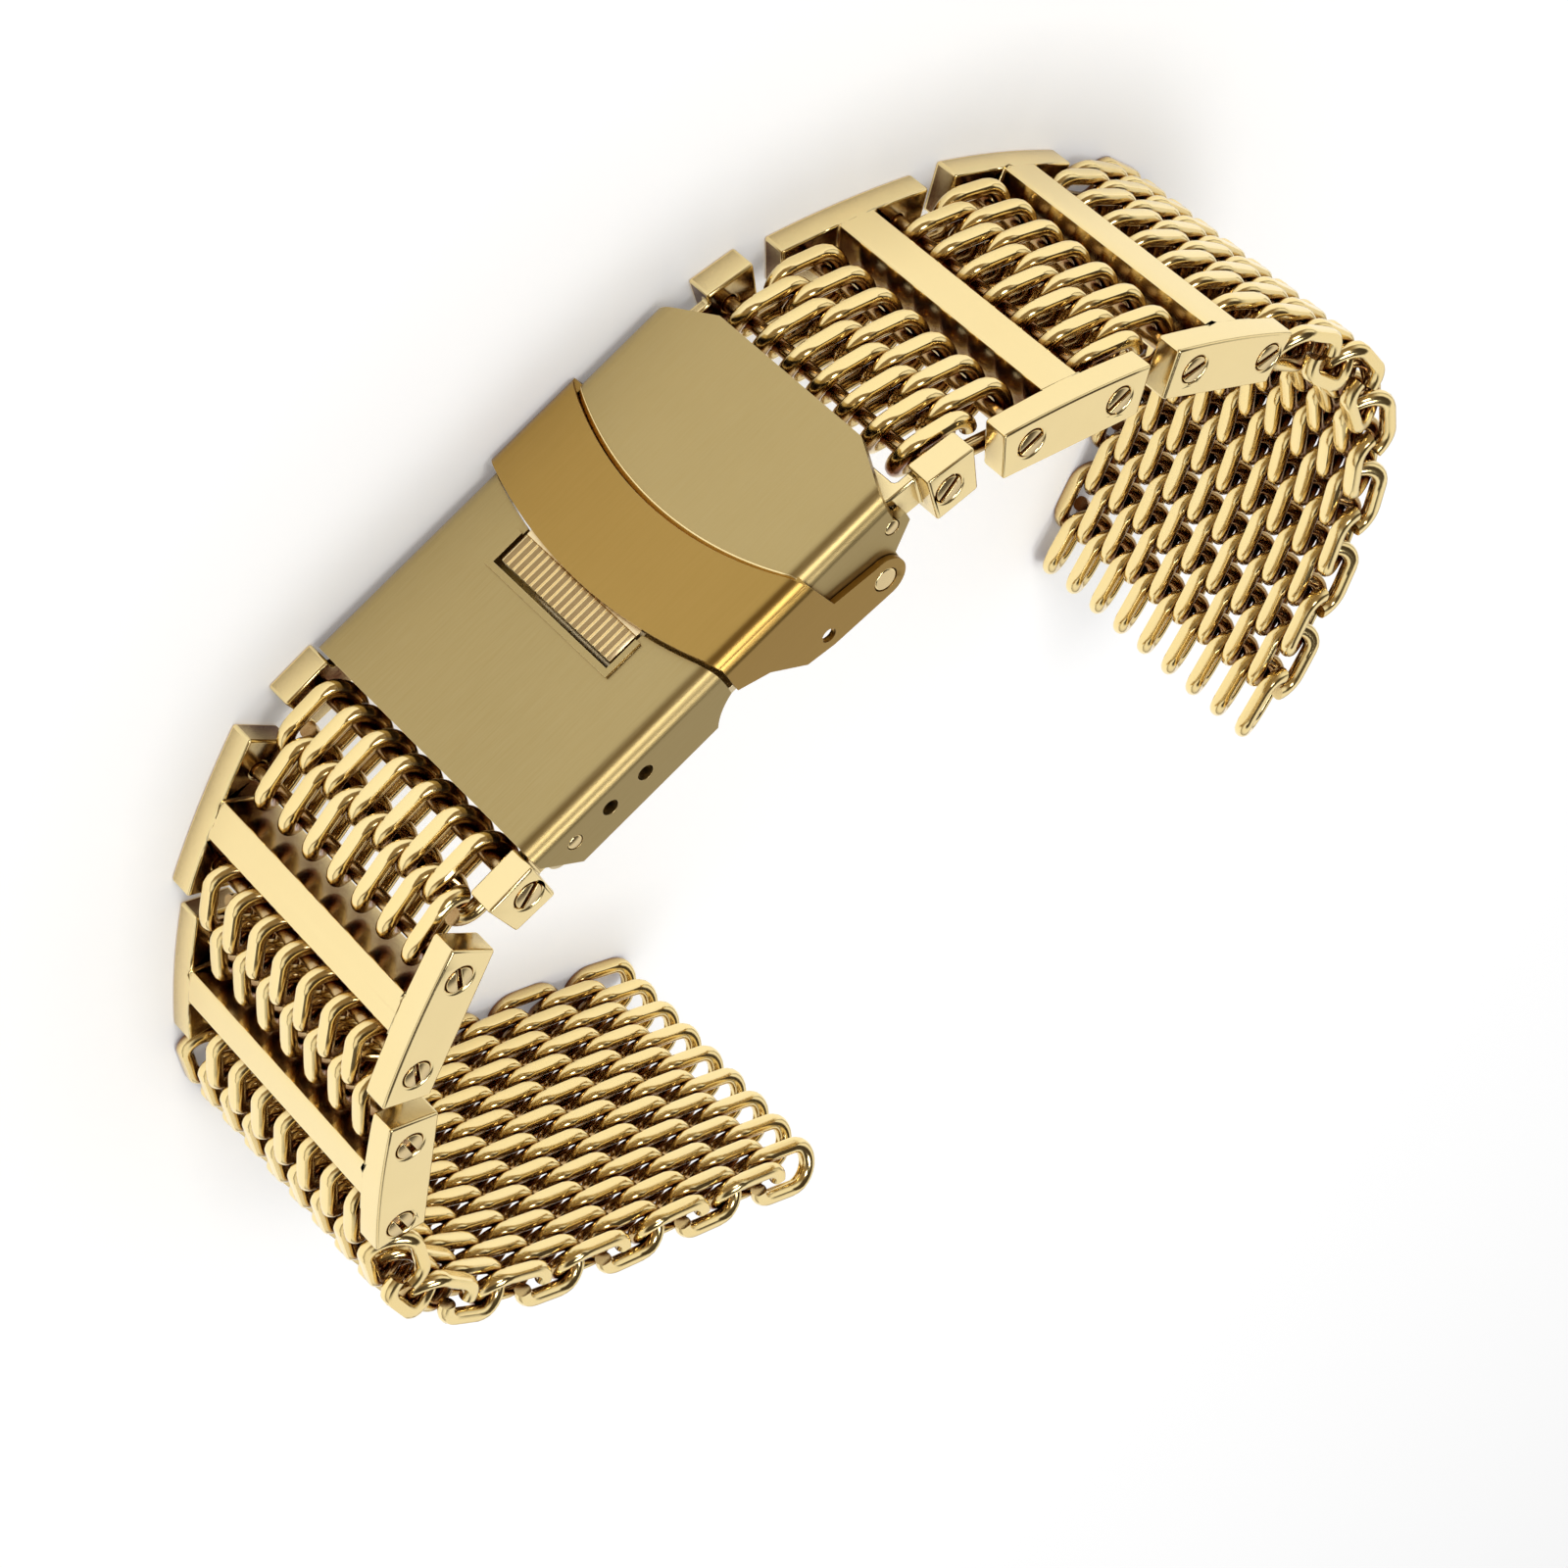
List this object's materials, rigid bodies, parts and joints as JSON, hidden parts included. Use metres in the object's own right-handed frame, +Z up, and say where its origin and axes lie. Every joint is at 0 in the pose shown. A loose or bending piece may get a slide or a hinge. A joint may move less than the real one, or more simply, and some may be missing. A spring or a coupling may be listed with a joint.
{
  "type": "watch bracelet",
  "caption": "Woven wire mesh watch bracelet, hinged row by row, with cross links and a folding clasp with a safety flap.",
  "frame": {"origin": "bottom centre of the whole bracelet's bounding box, on the surface that its far side edge lies on", "axes": "+X from the left lug end to the right lug end, +Y out of the loop at the clasp, +Z up across the strap's width"},
  "size_m": [0.086, 0.0564, 0.022],
  "materials": {
    "polished_gold_tone": "gold-tone plated steel, polished",
    "brushed_gold_tone": "gold-tone plated steel, brushed along the strap",
    "satin_gold_tone": "gold-tone plated steel, satin",
    "gold_tone_hardware": "gold-tone plated steel pins, screws and spring bars"
  },
  "bodies": {
    "base": {"end_plate": "brushed_gold_tone", "inner_blade": "satin_gold_tone", "end_spring_bar": "gold_tone_hardware", "flap_pivot_rivets": "gold_tone_hardware", "blade_hinge_pin": "gold_tone_hardware"},
    "flap": {"safety_flap": "satin_gold_tone", "flap_finger_tab": "satin_gold_tone"},
    "middle": {"middle_blade": "satin_gold_tone"},
    "cover": {"clasp_cover": "brushed_gold_tone", "cover_spring_bar": "gold_tone_hardware", "cover_hinge_pin": "gold_tone_hardware"},
    "u_link_left": {"u_link_left": "polished_gold_tone", "u_link_left_screw_pin": "gold_tone_hardware"},
    "left_mesh_row_a1": {"left_mesh_row_a1": "polished_gold_tone"},
    "left_mesh_row_a2": {"left_mesh_row_a2": "polished_gold_tone"},
    "h_link_left_inner": {"h_link_left_inner": "polished_gold_tone", "h_link_left_inner_screw_pins": "gold_tone_hardware"},
    "left_mesh_row_b1": {"left_mesh_row_b1": "polished_gold_tone"},
    "left_mesh_row_b2": {"left_mesh_row_b2": "polished_gold_tone"},
    "h_link_left_outer": {"h_link_left_outer": "polished_gold_tone", "h_link_left_outer_screw_pins": "gold_tone_hardware"},
    "left_end_row_01": {"left_end_row_01": "polished_gold_tone"},
    "left_end_row_02": {"left_end_row_02": "polished_gold_tone"},
    "left_end_row_03": {"left_end_row_03": "polished_gold_tone"},
    "left_end_row_04": {"left_end_row_04": "polished_gold_tone"},
    "left_end_row_05": {"left_end_row_05": "polished_gold_tone"},
    "left_end_row_06": {"left_end_row_06": "polished_gold_tone"},
    "left_end_row_07": {"left_end_row_07": "polished_gold_tone"},
    "left_end_row_08": {"left_end_row_08": "polished_gold_tone"},
    "left_end_row_09": {"left_end_row_09": "polished_gold_tone"},
    "left_end_row_10": {"left_end_row_10": "polished_gold_tone"},
    "left_end_row_11": {"left_end_row_11": "polished_gold_tone"},
    "left_end_row_12": {"left_end_row_12": "polished_gold_tone"},
    "left_end_row_13": {"left_end_row_13": "polished_gold_tone"},
    "u_link_right": {"u_link_right": "polished_gold_tone", "u_link_right_screw_pin": "gold_tone_hardware"},
    "right_mesh_row_a1": {"right_mesh_row_a1": "polished_gold_tone"},
    "right_mesh_row_a2": {"right_mesh_row_a2": "polished_gold_tone"},
    "h_link_right_inner": {"h_link_right_inner": "polished_gold_tone", "h_link_right_inner_screw_pins": "gold_tone_hardware"},
    "right_mesh_row_b1": {"right_mesh_row_b1": "polished_gold_tone"},
    "right_mesh_row_b2": {"right_mesh_row_b2": "polished_gold_tone"},
    "h_link_right_outer": {"h_link_right_outer": "polished_gold_tone", "h_link_right_outer_screw_pins": "gold_tone_hardware"},
    "right_end_row_01": {"right_end_row_01": "polished_gold_tone"},
    "right_end_row_02": {"right_end_row_02": "polished_gold_tone"},
    "right_end_row_03": {"right_end_row_03": "polished_gold_tone"},
    "right_end_row_04": {"right_end_row_04": "polished_gold_tone"},
    "right_end_row_05": {"right_end_row_05": "polished_gold_tone"},
    "right_end_row_06": {"right_end_row_06": "polished_gold_tone"},
    "right_end_row_07": {"right_end_row_07": "polished_gold_tone"},
    "right_end_row_08": {"right_end_row_08": "polished_gold_tone"},
    "right_end_row_09": {"right_end_row_09": "polished_gold_tone"},
    "right_end_row_10": {"right_end_row_10": "polished_gold_tone"},
    "right_end_row_11": {"right_end_row_11": "polished_gold_tone"},
    "right_end_row_12": {"right_end_row_12": "polished_gold_tone"},
    "right_end_row_13": {"right_end_row_13": "polished_gold_tone"}
  },
  "joints": [
    {"name": "flap_hinge", "type": "hinge", "parent": "base", "child": "flap", "pos_m": [0.00818, 0.02228, 0.011], "axis": [0, 0, -1], "range_deg": [0, 75]},
    {"name": "blade_hinge", "type": "hinge", "parent": "base", "child": "middle", "pos_m": [-0.01622, 0.02183, 0.011], "axis": [0, 0, 1], "range_deg": [0, 170]},
    {"name": "cover_hinge", "type": "hinge", "parent": "middle", "child": "cover", "pos_m": [-0.00642, 0.02353, 0.011], "axis": [0, 0, -1], "range_deg": [0, 170]},
    {"name": "u_link_left_hinge", "type": "hinge", "parent": "cover", "child": "u_link_left", "pos_m": [-0.01512, 0.02508, 0.011], "axis": [0, 0, 1], "range_deg": [-1, 27]},
    {"name": "left_mesh_row_a1_hinge", "type": "hinge", "parent": "u_link_left", "child": "left_mesh_row_a1", "pos_m": [-0.01912, 0.02522, 0.011], "axis": [0, 0, 1], "range_deg": [-17, 13]},
    {"name": "left_mesh_row_a2_hinge", "type": "hinge", "parent": "left_mesh_row_a1", "child": "left_mesh_row_a2", "pos_m": [-0.02227, 0.02505, 0.011], "axis": [0, 0, 1], "range_deg": [-28, 2]},
    {"name": "h_link_left_inner_hinge", "type": "hinge", "parent": "left_mesh_row_a2", "child": "h_link_left_inner", "pos_m": [-0.02524, 0.02403, 0.011], "axis": [0, 0, 1], "range_deg": [-29, 1]},
    {"name": "left_mesh_row_b1_hinge", "type": "hinge", "parent": "h_link_left_inner", "child": "left_mesh_row_b1", "pos_m": [-0.03091, 0.01991, 0.011], "axis": [0, 0, 1], "range_deg": [-28, 2]},
    {"name": "left_mesh_row_b2_hinge", "type": "hinge", "parent": "left_mesh_row_b1", "child": "left_mesh_row_b2", "pos_m": [-0.03285, 0.01743, 0.011], "axis": [0, 0, 1], "range_deg": [-20, 10]},
    {"name": "h_link_left_outer_hinge", "type": "hinge", "parent": "left_mesh_row_b2", "child": "h_link_left_outer", "pos_m": [-0.03442, 0.0147, 0.011], "axis": [0, 0, 1], "range_deg": [-7, 23]},
    {"name": "left_end_row_01_hinge", "type": "hinge", "parent": "h_link_left_outer", "child": "left_end_row_01", "pos_m": [-0.03844, 0.00897, 0.011], "axis": [0, 0, 1], "range_deg": [-16, 14]},
    {"name": "left_end_row_02_hinge", "type": "hinge", "parent": "left_end_row_01", "child": "left_end_row_02", "pos_m": [-0.04006, 0.00627, 0.011], "axis": [0, 0, 1], "range_deg": [-25, 5]},
    {"name": "left_end_row_03_hinge", "type": "hinge", "parent": "left_end_row_02", "child": "left_end_row_03", "pos_m": [-0.04111, 0.00303, 0.011], "axis": [0, 0, 1], "range_deg": [-37, 5]},
    {"name": "left_end_row_04_hinge", "type": "hinge", "parent": "left_end_row_03", "child": "left_end_row_04", "pos_m": [-0.04117, -0.00037, 0.011], "axis": [0, 0, 1], "range_deg": [-37, 5]},
    {"name": "left_end_row_05_hinge", "type": "hinge", "parent": "left_end_row_04", "child": "left_end_row_05", "pos_m": [-0.04023, -0.00363, 0.011], "axis": [0, 0, 1], "range_deg": [-32, 10]},
    {"name": "left_end_row_06_hinge", "type": "hinge", "parent": "left_end_row_05", "child": "left_end_row_06", "pos_m": [-0.03864, -0.00664, 0.011], "axis": [0, 0, 1], "range_deg": [-29, 13]},
    {"name": "left_end_row_07_hinge", "type": "hinge", "parent": "left_end_row_06", "child": "left_end_row_07", "pos_m": [-0.03659, -0.00935, 0.011], "axis": [0, 0, 1], "range_deg": [-26, 16]},
    {"name": "left_end_row_08_hinge", "type": "hinge", "parent": "left_end_row_07", "child": "left_end_row_08", "pos_m": [-0.03427, -0.01184, 0.011], "axis": [0, 0, 1], "range_deg": [-24, 18]},
    {"name": "left_end_row_09_hinge", "type": "hinge", "parent": "left_end_row_08", "child": "left_end_row_09", "pos_m": [-0.03178, -0.01416, 0.011], "axis": [0, 0, 1], "range_deg": [-22, 20]},
    {"name": "left_end_row_10_hinge", "type": "hinge", "parent": "left_end_row_09", "child": "left_end_row_10", "pos_m": [-0.02922, -0.01639, 0.011], "axis": [0, 0, 1], "range_deg": [-20, 22]},
    {"name": "left_end_row_11_hinge", "type": "hinge", "parent": "left_end_row_10", "child": "left_end_row_11", "pos_m": [-0.02665, -0.01862, 0.011], "axis": [0, 0, 1], "range_deg": [-19, 23]},
    {"name": "left_end_row_12_hinge", "type": "hinge", "parent": "left_end_row_11", "child": "left_end_row_12", "pos_m": [-0.02413, -0.02089, 0.011], "axis": [0, 0, 1], "range_deg": [-18, 24]},
    {"name": "left_end_row_13_hinge", "type": "hinge", "parent": "left_end_row_12", "child": "left_end_row_13", "pos_m": [-0.02168, -0.02326, 0.011], "axis": [0, 0, 1], "range_deg": [-18, 24]},
    {"name": "u_link_right_hinge", "type": "hinge", "parent": "base", "child": "u_link_right", "pos_m": [0.01028, 0.02508, 0.011], "axis": [0, 0, -1], "range_deg": [-13, 15]},
    {"name": "right_mesh_row_a1_hinge", "type": "hinge", "parent": "u_link_right", "child": "right_mesh_row_a1", "pos_m": [0.01422, 0.02438, 0.011], "axis": [0, 0, -1], "range_deg": [-25, 5]},
    {"name": "right_mesh_row_a2_hinge", "type": "hinge", "parent": "right_mesh_row_a1", "child": "right_mesh_row_a2", "pos_m": [0.01712, 0.02315, 0.011], "axis": [0, 0, -1], "range_deg": [-19, 11]},
    {"name": "h_link_right_inner_hinge", "type": "hinge", "parent": "right_mesh_row_a2", "child": "h_link_right_inner", "pos_m": [0.01985, 0.02158, 0.011], "axis": [0, 0, -1], "range_deg": [-13, 17]},
    {"name": "right_mesh_row_b1_hinge", "type": "hinge", "parent": "h_link_right_inner", "child": "right_mesh_row_b1", "pos_m": [0.02584, 0.01797, 0.011], "axis": [0, 0, -1], "range_deg": [-14, 16]},
    {"name": "right_mesh_row_b2_hinge", "type": "hinge", "parent": "right_mesh_row_b1", "child": "right_mesh_row_b2", "pos_m": [0.02849, 0.01625, 0.011], "axis": [0, 0, -1], "range_deg": [-17, 13]},
    {"name": "h_link_right_outer_hinge", "type": "hinge", "parent": "right_mesh_row_b2", "child": "h_link_right_outer", "pos_m": [0.03097, 0.01432, 0.011], "axis": [0, 0, -1], "range_deg": [-22, 8]},
    {"name": "right_end_row_01_hinge", "type": "hinge", "parent": "h_link_right_outer", "child": "right_end_row_01", "pos_m": [0.03565, 0.00911, 0.011], "axis": [0, 0, -1], "range_deg": [-17, 13]},
    {"name": "right_end_row_02_hinge", "type": "hinge", "parent": "right_end_row_01", "child": "right_end_row_02", "pos_m": [0.03755, 0.0066, 0.011], "axis": [0, 0, -1], "range_deg": [-18, 12]},
    {"name": "right_end_row_03_hinge", "type": "hinge", "parent": "right_end_row_02", "child": "right_end_row_03", "pos_m": [0.0393, 0.00368, 0.011], "axis": [0, 0, -1], "range_deg": [-29, 13]},
    {"name": "right_end_row_04_hinge", "type": "hinge", "parent": "right_end_row_03", "child": "right_end_row_04", "pos_m": [0.04057, 0.00053, 0.011], "axis": [0, 0, -1], "range_deg": [-32, 10]},
    {"name": "right_end_row_05_hinge", "type": "hinge", "parent": "right_end_row_04", "child": "right_end_row_05", "pos_m": [0.04116, -0.00282, 0.011], "axis": [0, 0, -1], "range_deg": [-33, 9]},
    {"name": "right_end_row_06_hinge", "type": "hinge", "parent": "right_end_row_05", "child": "right_end_row_06", "pos_m": [0.04099, -0.00621, 0.011], "axis": [0, 0, -1], "range_deg": [-31, 11]},
    {"name": "right_end_row_07_hinge", "type": "hinge", "parent": "right_end_row_06", "child": "right_end_row_07", "pos_m": [0.04016, -0.00951, 0.011], "axis": [0, 0, -1], "range_deg": [-30, 12]},
    {"name": "right_end_row_08_hinge", "type": "hinge", "parent": "right_end_row_07", "child": "right_end_row_08", "pos_m": [0.03878, -0.01262, 0.011], "axis": [0, 0, -1], "range_deg": [-29, 13]},
    {"name": "right_end_row_09_hinge", "type": "hinge", "parent": "right_end_row_08", "child": "right_end_row_09", "pos_m": [0.03693, -0.01547, 0.011], "axis": [0, 0, -1], "range_deg": [-27, 15]},
    {"name": "right_end_row_10_hinge", "type": "hinge", "parent": "right_end_row_09", "child": "right_end_row_10", "pos_m": [0.03474, -0.01807, 0.011], "axis": [0, 0, -1], "range_deg": [-25, 17]},
    {"name": "right_end_row_11_hinge", "type": "hinge", "parent": "right_end_row_10", "child": "right_end_row_11", "pos_m": [0.03234, -0.02048, 0.011], "axis": [0, 0, -1], "range_deg": [-24, 18]},
    {"name": "right_end_row_12_hinge", "type": "hinge", "parent": "right_end_row_11", "child": "right_end_row_12", "pos_m": [0.02977, -0.02271, 0.011], "axis": [0, 0, -1], "range_deg": [-24, 18]},
    {"name": "right_end_row_13_hinge", "type": "hinge", "parent": "right_end_row_12", "child": "right_end_row_13", "pos_m": [0.02706, -0.02475, 0.011], "axis": [0, 0, -1], "range_deg": [-25, 17]}
  ],
  "couplings": [
    {"joint": "cover_hinge", "follows": "blade_hinge", "ratio": 1}
  ]
}
